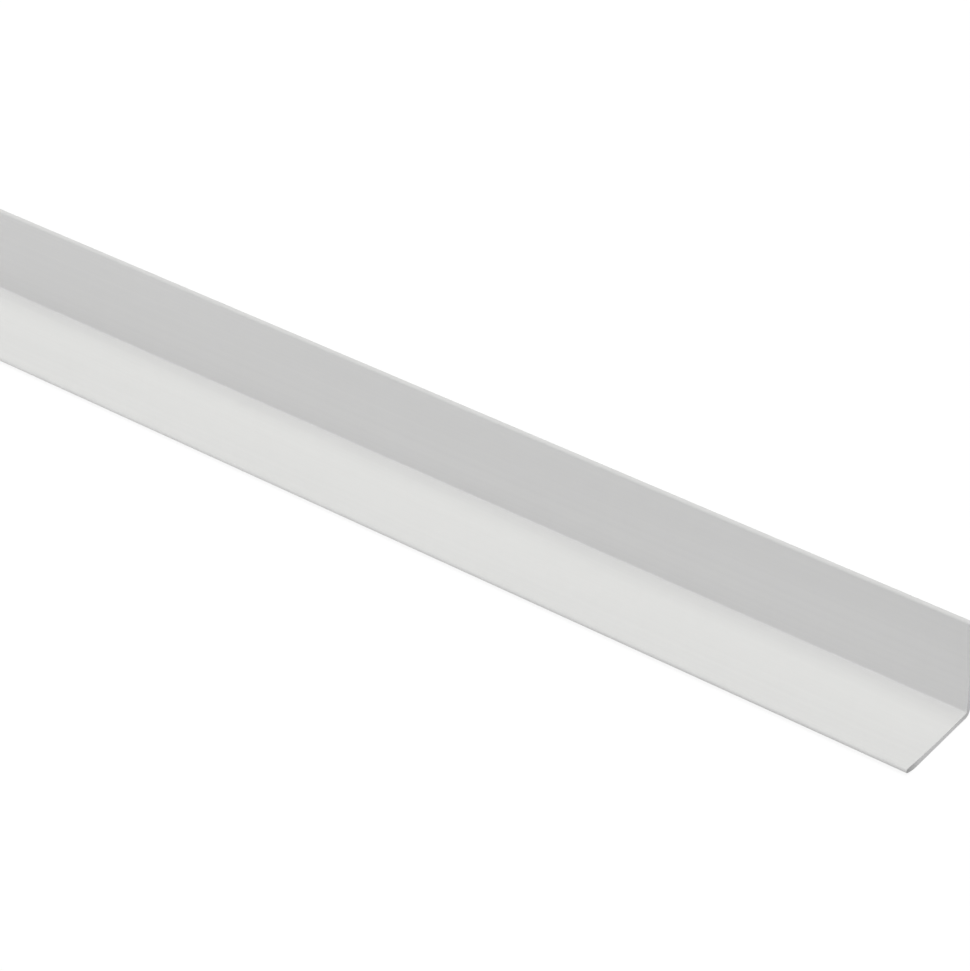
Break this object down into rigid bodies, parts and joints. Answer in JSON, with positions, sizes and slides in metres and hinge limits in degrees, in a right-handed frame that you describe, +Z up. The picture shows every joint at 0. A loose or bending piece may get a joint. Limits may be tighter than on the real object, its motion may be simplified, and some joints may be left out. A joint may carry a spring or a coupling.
{
  "type": "corner guard moulding",
  "caption": "White PVC angle with equal legs, a rounded heel and free edges that turn in, bonded over the outside corner of a wall to shield it from knocks.",
  "frame": {"origin": "on the face that it lies on, halfway along the stock and halfway across the leg", "axes": "+X along the stock, -Y towards the free edge of the lying leg, +Z up along the standing leg"},
  "size_m": [1.2192, 0.0286, 0.0286],
  "materials": {
    "white_pvc": "satin white, smooth from the die, with sawn ends"
  },
  "bodies": {
    "root": {"corner_guard": "white_pvc"}
  },
  "joints": []
}
